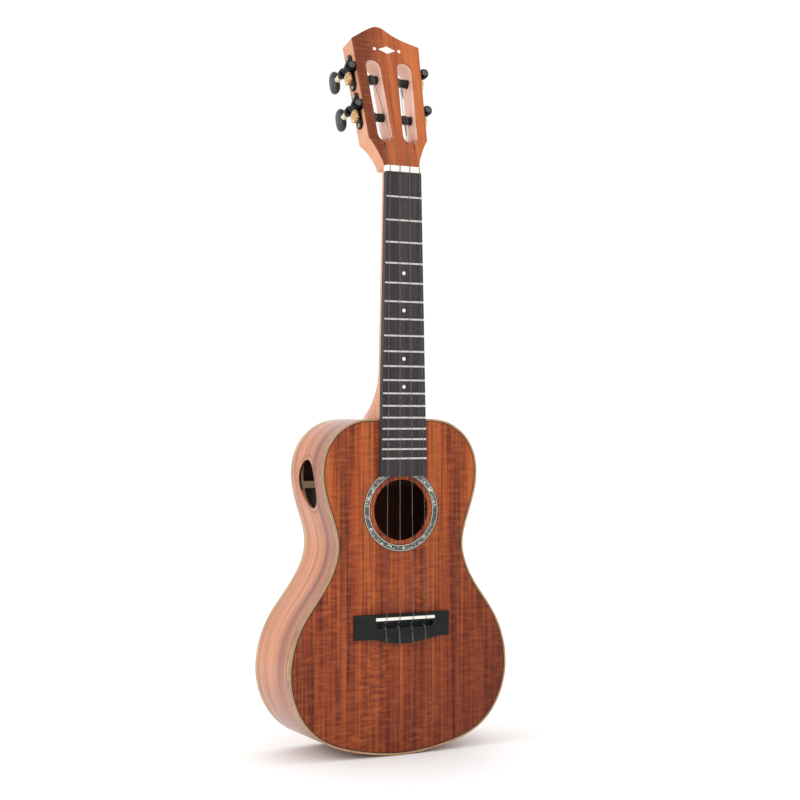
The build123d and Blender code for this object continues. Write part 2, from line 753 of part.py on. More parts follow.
def button():
    """Oval knob with its collar, on the rear end of the worm shaft."""
    rear = -roller_depth - worm_length / 2 - 2 * boss_gap - boss_length
    top = rear - collar_start
    oval = Ellipse(button_thickness / 2, button_height / 2)
    knob = extrude(oval, amount=-button_depth)
    knob = fillet(knob.edges(), button_edge_radius)
    solid = Pos(0, 0, top - collar_length) * knob
    solid += Pos(0, 0, top - collar_length / 2) * Cylinder(collar_radius, collar_length + 0.2)
    bore_length = collar_length + button_depth / 2
    solid -= Pos(0, 0, top - bore_length / 2) * Cylinder(shaft_radius + glue_line, bore_length + 0.4)
    return Pos(worm_x, worm_y, 0) * solid


def plate():
    """Side plate with the two bearing bosses of the worm shaft and the roller's bearing."""
    shape = Pos(0, (plate_above - plate_below) / 2) * SlotOverall(
        plate_above + plate_below, 2 * plate_half_width, rotation=90)
    body = extrude(shape, amount=plate_thickness)
    body = Pos(0, 0, -roller_depth) * Rot(0, 90, 0) * Rot(0, 0, 0) * body
    for direction in (-1, 1):
        middle = -roller_depth + direction * (worm_length / 2 + boss_gap + boss_length / 2)
        boss = Pos(worm_x, worm_y, middle) * Cylinder(boss_radius, boss_length)
        foot = Pos(worm_x / 2, worm_y, middle) * Box(worm_x, 2 * shaft_radius + 2, boss_length)
        body += boss + foot
    body += Pos(plate_thickness / 2, worm_y, -roller_depth) * Box(
        plate_thickness, 2 * boss_radius, worm_length + 2 * (boss_gap + boss_length))
    body &= Pos(wide / 2, 0, 0) * Box(wide, wide, wide)
    body -= Pos(worm_x, worm_y, 0) * Cylinder(shaft_radius + running_clearance, wide)
    body -= Pos(0, 0, -roller_depth) * Rot(0, 90, 0) * Cylinder(plate_bore_radius + running_clearance, wide)
    for place in screw_places:
        body -= Pos(0, place, -roller_depth) * Rot(0, 90, 0) * Cylinder(screw_shank_radius + glue_line, wide)
    return body


def screw(place):
    """Plate screw with a domed head."""
    head = Pos(0, 0, plate_thickness) * Cylinder(
        screw_head_radius, screw_head_height, align=(Align.CENTER, Align.CENTER, Align.MIN))
    shank = Pos(0, 0, plate_thickness) * Cylinder(
        screw_shank_radius, screw_length, align=(Align.CENTER, Align.CENTER, Align.MAX))
    return Pos(0, place, -roller_depth) * Rot(0, 90, 0) * (head + shank)


def across_side(place):
    """From the head's side in to the far wall of the slot, square to the side."""
    reach = head_reach(place)
    return (reach - slot_centre(place) + slot_width / 2) * math.cos(side_angle)


def roller(place):
    """String roller: journal in the head's web, barrel in the slot, stub through plate and gear."""
    inner = -across_side(place) + roller_end_play
    barrel = rod((inner, 0, 0), (-roller_end_play, 0, 0), roller_radius)
    journal = rod((inner - roller_journal_length, 0, 0), (inner, 0, 0), roller_journal_radius)
    stub_end = worm_x + gear_thickness / 2
    stub = rod((-roller_end_play, 0, 0), (stub_end, 0, 0), plate_bore_radius - glue_line)
    head = rod((stub_end, 0, 0), (stub_end + screw_head_height, 0, 0), gear_screw_radius + 0.8)
    head -= Pos(stub_end + screw_head_height, 0, 0) * Box(0.8, 0.6, 2 * gear_screw_radius + 4)
    return Pos(0, 0, -roller_depth) * (barrel + journal + stub + head)


def winding(name):
    """The turns of a string on its roller, as one sleeve."""
    row, side = roller_of_string[name]
    place = roller_places[row]
    radius = string_radii[name]
    across = abs(winding_place(name).X)
    reach = head_reach(place)
    middle = -(reach - across) * math.cos(side_angle)
    length = winding_turns * 2 * radius
    sleeve = rod((middle - length / 2, 0, 0), (middle + length / 2, 0, 0), roller_radius + 2 * radius)
    sleeve -= rod((middle - length, 0, 0), (middle + length, 0, 0), roller_radius + glue_line)
    return Pos(0, 0, -roller_depth) * sleeve


def on_head(solid, place, side):
    """Move a tuner piece from its own axes to the head, mirrored for the bass side."""
    reach = head_reach(place)
    placed = Pos(reach, place, 0) * Rot(0, 0, -math.degrees(side_angle)) * solid
    if side < 0:
        placed = mirror(placed, about=Plane.YZ)
    return head_plane * placed


screws = []
for name, (row, side) in roller_of_string.items():
    place = roller_places[row]
    where = row + ("_bass" if side < 0 else "_treble")
    parts["tuner_plate_" + where] = on_head(plate(), place, side)
    parts["worm_shaft_" + where] = on_head(worm(), place, side)
    parts["button_" + where] = on_head(button(), place, side)
    parts["gear_" + where] = on_head(gear(), place, side)
    parts["roller_" + where] = on_head(roller(place), place, side)
    parts["winding_" + name] = on_head(winding(name), place, side)
    screws += [on_head(screw(y), place, side) for y in screw_places]
parts["plate_screws"] = Compound(children=screws)
for hole_place in screws:
    parts["neck"] -= hole_place

os.makedirs("parts", exist_ok=True)
for name, solid in parts.items():
    export_step(solid, "parts/" + name + ".step")
    print(name, len(solid.solids()), round(solid.volume, 1))
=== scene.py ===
import json
import math
import bmesh
import bpy
import numpy as np
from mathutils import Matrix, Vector


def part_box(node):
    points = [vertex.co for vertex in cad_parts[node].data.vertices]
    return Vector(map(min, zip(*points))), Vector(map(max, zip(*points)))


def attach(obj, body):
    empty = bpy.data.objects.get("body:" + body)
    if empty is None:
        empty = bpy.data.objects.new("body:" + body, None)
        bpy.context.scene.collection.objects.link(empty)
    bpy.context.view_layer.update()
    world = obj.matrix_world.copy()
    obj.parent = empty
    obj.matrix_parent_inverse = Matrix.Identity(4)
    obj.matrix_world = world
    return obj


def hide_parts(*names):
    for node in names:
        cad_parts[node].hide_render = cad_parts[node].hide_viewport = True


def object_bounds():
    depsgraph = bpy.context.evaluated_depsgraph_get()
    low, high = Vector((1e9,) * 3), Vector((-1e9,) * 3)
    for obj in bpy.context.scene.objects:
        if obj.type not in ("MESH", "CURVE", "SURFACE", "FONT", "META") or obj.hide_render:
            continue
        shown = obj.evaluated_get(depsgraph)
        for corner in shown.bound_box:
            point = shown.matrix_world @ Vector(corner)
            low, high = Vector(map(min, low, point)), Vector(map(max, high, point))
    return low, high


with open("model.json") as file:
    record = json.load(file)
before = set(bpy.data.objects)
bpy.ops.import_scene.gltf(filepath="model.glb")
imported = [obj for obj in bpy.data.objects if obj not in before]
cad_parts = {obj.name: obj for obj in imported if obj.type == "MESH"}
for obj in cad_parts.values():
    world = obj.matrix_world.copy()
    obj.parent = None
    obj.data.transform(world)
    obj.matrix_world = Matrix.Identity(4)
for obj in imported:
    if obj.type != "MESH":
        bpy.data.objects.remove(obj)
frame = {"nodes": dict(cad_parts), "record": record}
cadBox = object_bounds()
nodes = frame["nodes"]
joints = {joint["name"]: joint for joint in frame["record"]["behaviour"]["joints"]}
mm = 0.001
# each tuner's place, and the letter of the string that it winds
tuners = {"lower_bass": "g", "upper_bass": "c", "upper_treble": "e", "lower_treble": "a"}
headTilt = math.radians(15.7)
upHead = np.array([0, math.sin(headTilt), math.cos(headTilt)])
outOfHead = np.array([0, -math.cos(headTilt), math.sin(headTilt)])


def newFinish(name, **sockets):
    finish = bpy.data.materials.new(name)
    finish.use_nodes = True
    tree = finish.node_tree
    shader = tree.nodes["Principled BSDF"]
    for socket, value in sockets.items():
        shader.inputs[socket.replace("_", " ")].default_value = value
    return finish, tree, shader


def put(tree, kind, inputs=None, **settings):  # one node, its settings, and what goes into it
    added = tree.nodes.new(kind)
    for key, value in settings.items():
        setattr(added, key, value)
    for key, value in (inputs or {}).items():
        if isinstance(value, bpy.types.NodeSocket):
            tree.links.new(value, added.inputs[key])
        else:
            added.inputs[key].default_value = value
    return added


def place(tree):
    return put(tree, "ShaderNodeTexCoord").outputs["Object"]


def mapped(tree, vector, scale, rotation=(0, 0, 0), location=(0, 0, 0)):
    return put(tree, "ShaderNodeMapping", {
        "Vector": vector, "Scale": scale, "Rotation": rotation, "Location": location}).outputs[0]


def noise(tree, vector, scale, detail=3.0, roughness=0.5, distortion=0.0):
    return put(tree, "ShaderNodeTexNoise", {
        "Vector": vector, "Scale": scale, "Detail": detail, "Roughness": roughness,
        "Distortion": distortion}).outputs["Fac"]


# Noise that changes at its own rate along x, y and z, each given per metre.
def grain(tree, vector, rates, detail=3.0, roughness=0.5, distortion=0.0, shift=(0, 0, 0)):
    return noise(tree, mapped(tree, vector, rates, location=shift), 1.0, detail, roughness, distortion)


def axes(tree, vector):
    return put(tree, "ShaderNodeSeparateXYZ", {0: vector}).outputs


def facing(tree):
    return put(tree, "ShaderNodeNewGeometry").outputs["Normal"]


def both(tree, first, second):  # one where both are one
    return sums(tree, "MULTIPLY", first, second)


def sums(tree, operation, first, second=0.5, third=0.5):
    return put(tree, "ShaderNodeMath", {0: first, 1: second, 2: third},
               operation=operation).outputs[0]


def spread(tree, value, low, high, toLow=0.0, toHigh=1.0):
    return put(tree, "ShaderNodeMapRange", {
        "Value": value, "From Min": low, "From Max": high, "To Min": toLow,
        "To Max": toHigh}).outputs[0]


def ramp(tree, value, stops):
    added = put(tree, "ShaderNodeValToRGB", {"Fac": value})
    points = added.color_ramp.elements
    while len(points) < len(stops):
        points.new(0.5)
    for point, (position, colour) in zip(points, stops):
        point.position = position
        point.color = (*colour, 1.0)
    return added.outputs[0]


def blendColour(tree, amount, first, second, mode="MIX"):
    added = put(tree, "ShaderNodeMix", {0: amount}, data_type="RGBA", blend_type=mode)
    for index, value in ((6, first), (7, second)):
        if isinstance(value, bpy.types.NodeSocket):
            tree.links.new(value, added.inputs[index])
        else:
            added.inputs[index].default_value = (*value, 1.0)
    return added.outputs[2]


def roughTo(tree, shader, value, low, high):
    tree.links.new(spread(tree, value, 0.3, 0.7, low, high), shader.inputs["Roughness"])


def bump(tree, shader, height, strength, distance):
    added = put(tree, "ShaderNodeBump", {
        "Height": height, "Strength": strength, "Distance": distance})
    tree.links.new(added.outputs[0], shader.inputs["Normal"])


def colourTo(tree, shader, colour):
    tree.links.new(colour, shader.inputs["Base Color"])


koa = {
    "stripes": (  # distance from the centre seam in shares of the half width, then colour
        (0.00, (0.34, 0.070, 0.022)), (0.060, (0.42, 0.105, 0.032)), (0.078, (0.075, 0.018, 0.012)),
        (0.100, (0.30, 0.056, 0.020)), (0.19, (0.20, 0.034, 0.014)), (0.275, (0.44, 0.125, 0.038)),
        (0.298, (0.080, 0.020, 0.013)), (0.325, (0.25, 0.043, 0.017)), (0.40, (0.42, 0.108, 0.032)),
        (0.450, (0.17, 0.030, 0.014)), (0.475, (0.055, 0.014, 0.011)), (0.500, (0.46, 0.140, 0.040)),
        (0.57, (0.22, 0.040, 0.016)), (0.650, (0.38, 0.095, 0.030)), (0.695, (0.065, 0.016, 0.012)),
        (0.730, (0.28, 0.058, 0.021)), (0.82, (0.17, 0.032, 0.014)), (0.875, (0.075, 0.018, 0.012)),
        (0.93, (0.26, 0.056, 0.021)), (1.0, (0.16, 0.030, 0.014))),
    "halfWidth": 110 * mm,
    "wander": 6.0 * mm,
    "bands": (  # finer irregular bands, by noise value
        (0.30, (0.040, 0.010, 0.009)), (0.40, (0.16, 0.028, 0.014)), (0.48, (0.33, 0.066, 0.024)),
        (0.56, (0.27, 0.050, 0.020)), (0.64, (0.46, 0.135, 0.040)), (0.72, (0.54, 0.185, 0.052))),
    "bandShare": 0.62,
    # how fast each pattern changes along x, y and z, per metre
    "driftRates": (14, 1, 4), "bandRates": (150, 1, 2.2), "streakRates": (480, 1, 6),
    "glowRates": (210, 1, 8), "poreRates": (2200, 1, 90), "patchRates": (24, 1, 12),
    "rippleRates": (75, 1, 330),
    "streak": (0.055, 0.012, 0.009), "glow": (0.50, 0.15, 0.046), "pore": (0.06, 0.016, 0.012),
    "flame": (0.52, 0.165, 0.05), "hollow": (0.13, 0.028, 0.016), "shaded": (0.055, 0.011, 0.008),
    "lacquer": (1.0, 0.78, 0.62),
    "flameLength": 11 * mm, "flameHeight": 3.0 * mm, "flameTilt": -7,
    "flamesGrow": (-300 * mm, -400 * mm),  # along the body, towards the tail
    "flamesFade": (45 * mm, 75 * mm),  # away from the seam
    "leanAcross": 3.9, "leanAlong": -3.8, "leanStart": -1.14,  # shade per metre, and at the frame's origin
}


def mirrored(tree, here):  # the same on both sides of the seam, as book-matched halves are
    parted = axes(tree, here)
    return put(tree, "ShaderNodeCombineXYZ", {
        0: sums(tree, "ABSOLUTE", parted["X"]), 1: parted["Y"], 2: parted["Z"]}).outputs[0]


# Bands along the grain: wide stripes by the distance from the centre seam, moved aside by noise,
# mixed with finer bands, then dark streaks, warm streaks and pores over them.
def koaBands(tree, here, across, streak, pores):
    drift = grain(tree, here, koa["driftRates"])
    shifted = sums(tree, "MULTIPLY_ADD", drift, 2 * koa["wander"], across)
    shifted = sums(tree, "SUBTRACT", shifted, koa["wander"])
    stripes = ramp(tree, sums(tree, "DIVIDE", shifted, koa["halfWidth"]), koa["stripes"])
    band = grain(tree, mirrored(tree, here), koa["bandRates"], 5.0, 0.6, shift=(0.7, 0, 0))
    bands = ramp(tree, spread(tree, band, 0.38, 0.62, 0.28, 0.74), koa["bands"])
    colour = blendColour(tree, koa["bandShare"], stripes, bands)
    colour = blendColour(tree, spread(tree, streak, 0.46, 0.66, 0.0, 0.9), colour, koa["streak"])
    glow = grain(tree, here, koa["glowRates"], 4.0, 0.6, shift=(3, 0, 0))
    colour = blendColour(tree, spread(tree, glow, 0.5, 0.72, 0.0, 0.55), colour, koa["glow"])
    return blendColour(tree, spread(tree, pores, 0.58, 0.75, 0.0, 0.5), colour, koa["pore"])


# Curl across the grain: patches of slanted flames, strongest low on the body near the seam, and
# a fine ripple everywhere.
def koaCurl(tree, here, across, along, colour):
    tilted = mapped(tree, here, (1 / koa["flameLength"], 1, 1 / koa["flameHeight"]),
                    rotation=(0, math.radians(koa["flameTilt"]), 0))
    flames = noise(tree, tilted, 1.0, 1.5, 0.5, 0.4)
    patch = grain(tree, here, koa["patchRates"], 2.0, shift=(1.3, 0, 0.4))
    low = both(tree, spread(tree, along, *koa["flamesGrow"], 0.3, 1.0),
               spread(tree, across, *koa["flamesFade"], 1.0, 0.35))
    where = both(tree, spread(tree, patch, 0.42, 0.62), low)
    lit = both(tree, spread(tree, flames, 0.48, 0.7, 0.0, 0.7), where)
    unlit = both(tree, spread(tree, flames, 0.5, 0.3, 0.0, 0.5), where)
    colour = blendColour(tree, lit, colour, koa["flame"])
    colour = blendColour(tree, unlit, colour, koa["hollow"])
    ripple = grain(tree, here, koa["rippleRates"], 2.0, shift=(0, 0, 2))
    colour = blendColour(tree, spread(tree, ripple, 0.48, 0.7, 0.0, 0.3), colour, koa["flame"])
    return blendColour(tree, spread(tree, ripple, 0.48, 0.3, 0.0, 0.25), colour, koa["shaded"])


# Book-matched striped koa under warm lacquer; painted shade darkens it a little towards its low treble
# side.
def koaFinish():
    finish, tree, shader = newFinish(
        "koaTop", Roughness=0.36, Coat_Weight=0.12, Coat_Roughness=0.15, Specular_IOR_Level=0.12)
    here = place(tree)
    parted = axes(tree, here)
    across = sums(tree, "ABSOLUTE", parted["X"])
    streak = grain(tree, mirrored(tree, here), koa["streakRates"], 4.0, 0.65)
    pores = grain(tree, here, koa["poreRates"], 3.0, 0.7)
    colour = koaBands(tree, here, across, streak, pores)
    colour = koaCurl(tree, here, across, parted["Z"], colour)
    # painted shade, darker towards the low treble side where less light falls
    paintedShade = sums(tree, "MULTIPLY_ADD", parted["X"], koa["leanAcross"], sums(
        tree, "MULTIPLY_ADD", parted["Z"], koa["leanAlong"], koa["leanStart"]))
    colour = blendColour(tree, spread(tree, paintedShade, 0.0, 1.0, 0.0, 0.5), colour, koa["shaded"])
    colourTo(tree, shader, blendColour(tree, 1.0, colour, koa["lacquer"], "MULTIPLY"))
    roughTo(tree, shader, streak, 0.30, 0.42)
    bump(tree, shader, pores, 0.12, 0.02 * mm)
    return finish


woods = {
    # scale, wide and fleck: how fast streaks, colour drift and pores change along x, y and z,
    # per metre
    "sideWood": {"scale": (6, 300, 6), "wide": (3, 75, 3), "light": (0.72, 0.31, 0.150),
                 "base": (0.44, 0.165, 0.092), "dark": (0.12, 0.046, 0.040),
                 "fleck": (60, 1300, 60), "gloss": 0.24, "coat": 0.25},
    "backWood": {"scale": (330, 40, 6), "wide": (70, 10, 3), "light": (0.62, 0.25, 0.115),
                 "base": (0.38, 0.130, 0.068), "dark": (0.13, 0.046, 0.036),
                 "fleck": (1500, 60, 80), "gloss": 0.24, "coat": 0.25},
    "neckWood": {"scale": (420, 420, 7), "wide": (70, 70, 3), "light": (0.74, 0.39, 0.235),
                 "base": (0.62, 0.29, 0.17), "dark": (0.40, 0.155, 0.09),
                 "fleck": (1700, 1700, 70), "gloss": 0.36, "coat": 0.2},
    "headWood": {"scale": (340, 60, 10), "wide": (90, 10, 5), "light": (0.60, 0.185, 0.062),
                 "base": (0.42, 0.108, 0.038), "dark": (0.19, 0.040, 0.018),
                 "fleck": (1700, 200, 110), "gloss": 0.3, "coat": 0.05, "specular": 0.06},
    "backBinding": {"scale": (90, 400, 90), "wide": (20, 60, 20), "light": (0.60, 0.38, 0.20),
                    "base": (0.48, 0.28, 0.135), "dark": (0.30, 0.16, 0.08),
                    "fleck": (300, 900, 300), "gloss": 0.28, "coat": 0.4},
    "darkLine": {"scale": (90, 400, 90), "wide": (20, 60, 20), "light": (0.060, 0.022, 0.018),
                 "base": (0.035, 0.013, 0.011), "dark": (0.015, 0.007, 0.006),
                 "fleck": (300, 900, 300), "gloss": 0.35, "coat": 0.2},
    "paleLine": {"scale": (200, 200, 200), "wide": (60, 60, 60), "light": (0.34, 0.135, 0.095),
                 "base": (0.25, 0.088, 0.064), "dark": (0.13, 0.045, 0.036),
                 "fleck": (900, 900, 900), "gloss": 0.3, "coat": 0.4},
    "tailStrip": {"scale": (500, 60, 60), "wide": (90, 10, 10), "light": (0.11, 0.035, 0.022),
                  "base": (0.07, 0.022, 0.015), "dark": (0.03, 0.010, 0.009),
                  "fleck": (1400, 200, 200), "gloss": 0.26, "coat": 0.4},
    "braceWood": {"scale": (60, 500, 500), "wide": (6, 120, 120), "light": (0.72, 0.52, 0.32),
                  "base": (0.62, 0.42, 0.24), "dark": (0.45, 0.27, 0.13),
                  "fleck": (300, 900, 900), "gloss": 0.65, "coat": 0.0},
    "fretboardWood": {"scale": (620, 520, 9), "wide": (130, 60, 4), "light": (0.072, 0.062, 0.062),
                      "base": (0.042, 0.036, 0.037), "dark": (0.020, 0.016, 0.017),
                      "fleck": (2200, 900, 90), "gloss": 0.46, "coat": 0.05},
    "bridgeWood": {"scale": (12, 420, 460), "wide": (6, 60, 80), "light": (0.016, 0.019, 0.019),
                   "base": (0.008, 0.0095, 0.0098), "dark": (0.004, 0.005, 0.005),
                   "fleck": (90, 900, 1400), "gloss": 0.5, "coat": 0.0},
}
# some are real tints of the wood; the head edge, braces and inside are painted shade, the slot walls
# partly painted light
tintsAndPaintedLight = {  # where a wood changes colour on its own piece, and to what
    "headEdge": (-7 * mm, -19 * mm), "headEdgeShade": (0.105, 0.024, 0.016),
    "headRipple": (40, 1, 420), "headRippleColour": (0.52, 0.18, 0.07),
    "slotReach": 24.5 * mm, "slotFrom": 32 * mm, "slotTo": 108 * mm, "slotTurn": 0.55,
    "slotDark": (0.92, 0.55, 0.43), "slotPale": (1.0, 0.76, 0.63),
    "frontBand": (36 * mm, 4 * mm), "tailBand": (-420 * mm, -480 * mm),
    "bandColour": (0.125, 0.044, 0.033),
    "braceSide": -36 * mm, "braceLow": -335 * mm, "braceShade": (0.03, 0.012, 0.010),
    "bodyMiddle": (0, 30 * mm, -356 * mm), "insideTurn": 4 * mm, "insideShade": (0.035, 0.012, 0.009),
}


# The headstock's bass edge is darkened with painted shade, and faint ripples cross its face.
def headChange(tree, colour, here, streak):
    edge = spread(tree, axes(tree, here)["X"], *tintsAndPaintedLight["headEdge"], 0.0, 0.8)
    colour = blendColour(tree, edge, colour, tintsAndPaintedLight["headEdgeShade"])
    ripple = grain(tree, here, tintsAndPaintedLight["headRipple"], 2.0)
    return blendColour(tree, spread(tree, ripple, 0.5, 0.7, 0.0, 0.22), colour,
                       tintsAndPaintedLight["headRippleColour"])


# The walls of the headstock's slots are pale fresh-cut wood, brightened further with painted light against
# their shade.
def slotChange(tree, colour, here, streak):
    parted = axes(tree, here)
    inSlot = both(tree, sums(tree, "LESS_THAN", sums(tree, "ABSOLUTE", parted["X"]), tintsAndPaintedLight["slotReach"]),
                  sums(tree, "GREATER_THAN", parted["Z"], tintsAndPaintedLight["slotFrom"]))
    inSlot = both(tree, inSlot, sums(tree, "LESS_THAN", parted["Z"], tintsAndPaintedLight["slotTo"]))
    inSlot = both(tree, inSlot, sums(
        tree, "LESS_THAN", axes(tree, facing(tree))["Y"], tintsAndPaintedLight["slotTurn"]))
    cutAndPaintedLight = blendColour(tree, spread(tree, streak, 0.3, 0.7), tintsAndPaintedLight["slotDark"], tintsAndPaintedLight["slotPale"])
    return blendColour(tree, inSlot, colour, cutAndPaintedLight)


# The sides darken towards the soundboard and towards the tail, mostly along their streaks.
def sideChange(tree, colour, here, streak):
    parted = axes(tree, here)
    front = spread(tree, parted["Y"], *tintsAndPaintedLight["frontBand"], 0.0, 0.6)
    tail = spread(tree, parted["Z"], *tintsAndPaintedLight["tailBand"], 0.0, 0.6)
    lines = spread(tree, streak, 0.60, 0.44, 0.55, 1.0)
    return blendColour(tree, both(tree, sums(tree, "MAXIMUM", front, tail), lines), colour,
                       tintsAndPaintedLight["bandColour"])


# Braces are darkened with painted shade where the soundhole would show them.
def braceChange(tree, colour, here, streak):
    parted = axes(tree, here)
    near = both(tree, sums(tree, "GREATER_THAN", parted["X"], tintsAndPaintedLight["braceSide"]),
                sums(tree, "GREATER_THAN", parted["Z"], tintsAndPaintedLight["braceLow"]))
    return blendColour(tree, both(tree, near, 0.94), colour, tintsAndPaintedLight["braceShade"])


# Inside the body, where a face looks back at the body's middle, the wood is darkened with painted shade.
def insideChange(tree, colour, here, streak):
    outward = put(tree, "ShaderNodeVectorMath", {0: here, 1: tintsAndPaintedLight["bodyMiddle"]},
                  operation="SUBTRACT").outputs[0]
    turn = put(tree, "ShaderNodeVectorMath", {0: outward, 1: facing(tree)},
               operation="DOT_PRODUCT").outputs["Value"]
    inside = spread(tree, turn, tintsAndPaintedLight["insideTurn"], -tintsAndPaintedLight["insideTurn"], 0.0, 0.93)
    return blendColour(tree, inside, colour, tintsAndPaintedLight["insideShade"])


changes = {"headWood": [headChange], "neckWood": [slotChange], "braceWood": [braceChange],
           "sideWood": [sideChange, insideChange], "backWood": [insideChange]}


# Straight-grained wood: broad colour drift, fine streaks, pores and a little relief, then the
# changes of its own piece, painted shade and painted light among them.
def woodFinish(name):
    wood = woods[name]
    finish, tree, shader = newFinish(
        name, Coat_Weight=wood["coat"], Coat_Roughness=0.15,
        Specular_IOR_Level=wood.get("specular", 0.16))
    here = place(tree)
    drift = grain(tree, here, wood["wide"], 3.0, 0.55, 0.5)
    streak = grain(tree, here, wood["scale"], 5.0, 0.64, 0.3)
    broad = ramp(tree, spread(tree, drift, 0.33, 0.67), (
        (0.0, wood["dark"]), (0.42, wood["base"]), (1.0, wood["light"])))
    fine = ramp(tree, spread(tree, streak, 0.28, 0.72), (
        (0.0, wood["dark"]), (0.5, wood["base"]), (1.0, wood["light"])))
    fleck = grain(tree, here, wood["fleck"], 2.0, 0.7)
    colour = blendColour(tree, spread(tree, fleck, 0.6, 0.78, 0.0, 0.5),
                         blendColour(tree, 0.45, broad, fine), wood["dark"])
    for change in changes.get(name, []):
        colour = change(tree, colour, here, streak)
    colourTo(tree, shader, colour)
    roughTo(tree, shader, streak, wood["gloss"] + 0.08, wood["gloss"] - 0.04)
    bump(tree, shader, fleck, 0.15, 0.03 * mm)
    return finish


edging = {"tan": (0.50, 0.29, 0.13), "tanDark": (0.30, 0.155, 0.075), "line": (0.045, 0.022, 0.015),
          "lineFrom": 2.0 * mm, "lineTo": 3.2 * mm, "rates": (120, 500, 120)}


# Front edging: a tan strip with a dark line let into its side, then the side's own wood.
def edgingFinish():
    finish, tree, shader = newFinish("frontEdging", Coat_Weight=0.4, Coat_Roughness=0.12,
                                     Specular_IOR_Level=0.3)
    here = place(tree)
    depth = axes(tree, here)["Y"]
    grainy = grain(tree, here, edging["rates"], 4.0, 0.6)
    tone = spread(tree, grainy, 0.3, 0.7)
    tan = blendColour(tree, tone, edging["tanDark"], edging["tan"])
    wood = blendColour(tree, tone, woods["sideWood"]["dark"], woods["sideWood"]["light"])
    below = sums(tree, "GREATER_THAN", depth, edging["lineTo"])
    beyond = blendColour(tree, below, edging["line"], wood)
    colourTo(tree, shader, blendColour(
        tree, sums(tree, "GREATER_THAN", depth, edging["lineFrom"]), tan, beyond))
    roughTo(tree, shader, grainy, 0.38, 0.26)
    bump(tree, shader, grainy, 0.1, 0.02 * mm)
    return finish


# Plated metal: blotchy gloss, fine scratches, and a second colour where it is worn.
def metalFinish(name, colour, worn, roughness, wearAmount):
    finish, tree, shader = newFinish(name, Metallic=1.0)
    here = place(tree)
    blotch = noise(tree, here, 420.0, 4.0, 0.6)
    scratch = grain(tree, here, (900, 2600, 900), 2.0)
    colourTo(tree, shader, blendColour(
        tree, spread(tree, blotch, 0.5, 0.72, 0.0, wearAmount), colour, worn))
    roughTo(tree, shader, blotch, roughness - 0.06, roughness + 0.1)
    bump(tree, shader, scratch, 0.1, 0.02 * mm)
    return finish


# Moulded plastic or polished bone: faint mottling, soft gloss changes and tiny ripples.
def plasticFinish(name, colour, tint, roughness, coat, specular):
    finish, tree, shader = newFinish(name, Coat_Weight=coat, Coat_Roughness=0.12,
                                     Specular_IOR_Level=specular)
    here = place(tree)
    mottle = noise(tree, here, 260.0, 4.0, 0.55)
    grainy = noise(tree, here, 2600.0, 2.0)
    colourTo(tree, shader, blendColour(tree, spread(tree, mottle, 0.3, 0.75), colour, tint))
    roughTo(tree, shader, mottle, roughness - 0.05, roughness + 0.07)
    bump(tree, shader, grainy, 0.06, 0.02 * mm)
    return finish


ring = {"centre": (0, 0, -289.9 * mm), "middle": 32.9 * mm, "line": 1.75 * mm, "gap": 0.22 * mm,
        "paleLow": (0.42, 0.34, 0.24), "paleHigh": (0.78, 0.70, 0.56), "gapColour": (0.02, 0.018, 0.016)}


# Thin pale lines run round just inside both edges of the rosette, each with a dark gap beside it,
# by the distance from the soundhole's centre.
def ringLines(tree, here, tone, colour):
    fromHole = put(tree, "ShaderNodeVectorMath", {0: here, 1: ring["centre"]},
                   operation="SUBTRACT").outputs[0]
    flat = put(tree, "ShaderNodeVectorMath", {0: fromHole, 1: (1, 0, 1)},
               operation="MULTIPLY").outputs[0]
    radius = put(tree, "ShaderNodeVectorMath", {0: flat}, operation="LENGTH").outputs["Value"]
    offset = sums(tree, "ABSOLUTE", sums(tree, "SUBTRACT", radius, ring["middle"]))
    pale = blendColour(tree, spread(tree, tone, 0.3, 0.7), ring["paleLow"], ring["paleHigh"])
    lined = blendColour(tree, sums(tree, "GREATER_THAN", offset, ring["line"]), colour, pale)
    gap = sums(tree, "COMPARE", offset, ring["line"], ring["gap"])
    return blendColour(tree, gap, lined, ring["gapColour"])


# Nacre: folded layers in broken cells, from a cell pattern bent by noise.
def shellFinish(name, stops, cell, roughness):
    finish, tree, shader = newFinish(name, Coat_Weight=0.5, Coat_Roughness=0.06,
                                     Specular_IOR_Level=0.4)
    here = place(tree)
    swirl = put(tree, "ShaderNodeTexNoise", {"Vector": here, "Scale": 300.0, "Detail": 2.0})
    bent = put(tree, "ShaderNodeVectorMath", {0: swirl.outputs["Color"]}, operation="SCALE")
    bent.inputs["Scale"].default_value = 3.5 * mm
    moved = put(tree, "ShaderNodeVectorMath", {0: here, 1: bent.outputs[0]},
                operation="ADD").outputs[0]
    cells = put(tree, "ShaderNodeTexVoronoi", {"Vector": moved, "Scale": 1.0 / cell})
    tone = noise(tree, moved, 0.9 / cell, 4.0, 0.65, 0.6)
    parted = put(tree, "ShaderNodeSeparateColor", {0: cells.outputs["Color"]}).outputs[0]
    mixed = sums(tree, "MULTIPLY_ADD", parted, 0.6, sums(tree, "MULTIPLY", tone, 0.4))
    shell = ramp(tree, mixed, stops)
    edges = put(tree, "ShaderNodeTexVoronoi", {"Vector": moved, "Scale": 1.0 / cell},
                feature="DISTANCE_TO_EDGE").outputs["Distance"]
    veined = blendColour(tree, spread(tree, edges, 0.0, 0.12, 0.8, 0.0), shell, stops[0][1])
    if name == "abalone":
        veined = ringLines(tree, here, tone, veined)
    colourTo(tree, shader, veined)
    roughTo(tree, shader, tone, roughness, roughness + 0.12)
    bump(tree, shader, tone, 0.15, 0.05 * mm)
    return finish


roller = {
    "screwFrom": 27 * mm,  # from the centre line, just past the side plate
    "black": ((0.005, 0.005, 0.006), (0.016, 0.016, 0.018)),
    "brass": ((0.80, 0.60, 0.32), (0.62, 0.42, 0.20)),
}


